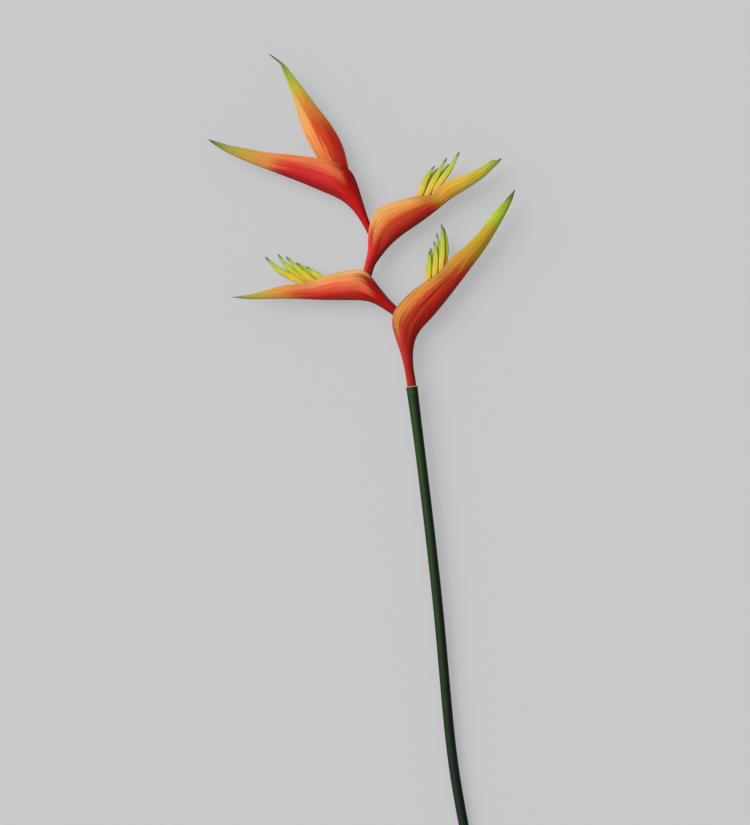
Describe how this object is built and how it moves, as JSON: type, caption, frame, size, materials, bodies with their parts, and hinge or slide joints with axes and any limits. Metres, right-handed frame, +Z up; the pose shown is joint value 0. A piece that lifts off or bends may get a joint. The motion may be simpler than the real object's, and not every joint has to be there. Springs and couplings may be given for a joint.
{
  "type": "heliconia flower",
  "caption": "Cut heliconia flower lying on its side: boat-shaped red and yellow bracts in two ranks on a long green stem, with fans of slender lime florets.",
  "frame": {"origin": "on the surface the flower lies on, under the middle of its outline", "axes": "+Z up from the surface, +Y along the length towards the top bract, +X towards the tip of the first bract"},
  "size_m": [0.2458, 0.6404, 0.0212],
  "materials": {
    "stem": "smooth dark green plant skin with a soft gloss",
    "first_bract": "waxy bract, red along the keel, golden at the rim and green at the tip",
    "second_bract": "waxy bract, coral red with an orange rim and a yellow-green tip",
    "third_bract": "waxy bract, golden shoulder and rim over a red side, lime tip",
    "fourth_bract": "waxy bract, red with an orange rim band and a golden green tip",
    "top_bract": "waxy bract, yellow rim, streaked orange side and lime tip",
    "floret": "smooth lime green floret, golden at the base and dark at the tip"
  },
  "bodies": {
    "root": {"stem": "stem", "first_bract": "first_bract", "second_bract": "second_bract", "third_bract": "third_bract", "fourth_bract": "fourth_bract", "top_bract": "top_bract", "first_floret_1": "floret", "first_floret_2": "floret", "first_floret_3": "floret", "first_floret_4": "floret", "first_floret_5": "floret", "first_floret_6": "floret", "second_floret_1": "floret", "second_floret_2": "floret", "second_floret_3": "floret", "second_floret_4": "floret", "second_floret_5": "floret", "third_floret_1": "floret", "third_floret_2": "floret", "third_floret_3": "floret", "third_floret_4": "floret", "third_floret_5": "floret"}
  },
  "joints": []
}
